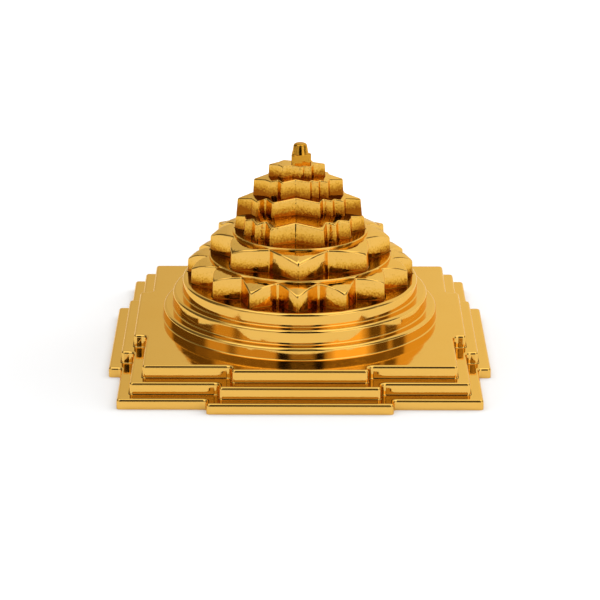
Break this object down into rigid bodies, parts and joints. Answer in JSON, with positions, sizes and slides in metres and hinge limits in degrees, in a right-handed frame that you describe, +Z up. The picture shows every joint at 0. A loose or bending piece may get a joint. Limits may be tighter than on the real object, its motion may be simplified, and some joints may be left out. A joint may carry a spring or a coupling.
{
  "type": "shri yantra",
  "caption": "Stepped metal yantra on a square base: round girdles, lotus petal tiers and star tiers rise to a triangle and a small stud at the top.",
  "frame": {"origin": "middle of the underside", "axes": "+Z up, X and Y square to the base's sides, and the front view in the picture looks along +Y"},
  "size_m": [0.0758, 0.0758, 0.0432],
  "materials": {
    "terrace_gilt": "polished gold plate",
    "girdle_gilt": "polished gold plate",
    "lotus_gilt": "polished gold plate over a cast skin",
    "star_gilt": "gold plate over a dimpled cast skin",
    "fastener_steel": "plain"
  },
  "bodies": {
    "root": {"terrace_lower": "terrace_gilt", "terrace_middle": "terrace_gilt", "terrace_upper": "terrace_gilt", "girdle_lower": "girdle_gilt", "girdle_middle": "girdle_gilt", "girdle_upper": "girdle_gilt", "lotus_sixteen": "lotus_gilt", "lotus_disc": "girdle_gilt", "lotus_eight": "lotus_gilt", "star_disc": "girdle_gilt", "star_fourteen": "star_gilt", "star_ten_outer": "star_gilt", "star_ten_inner": "star_gilt", "star_eight": "star_gilt", "triangle": "star_gilt", "bindu": "star_gilt", "stud": "fastener_steel", "washer": "fastener_steel", "nut": "fastener_steel", "dowel_left": "fastener_steel", "dowel_right": "fastener_steel"}
  },
  "joints": []
}
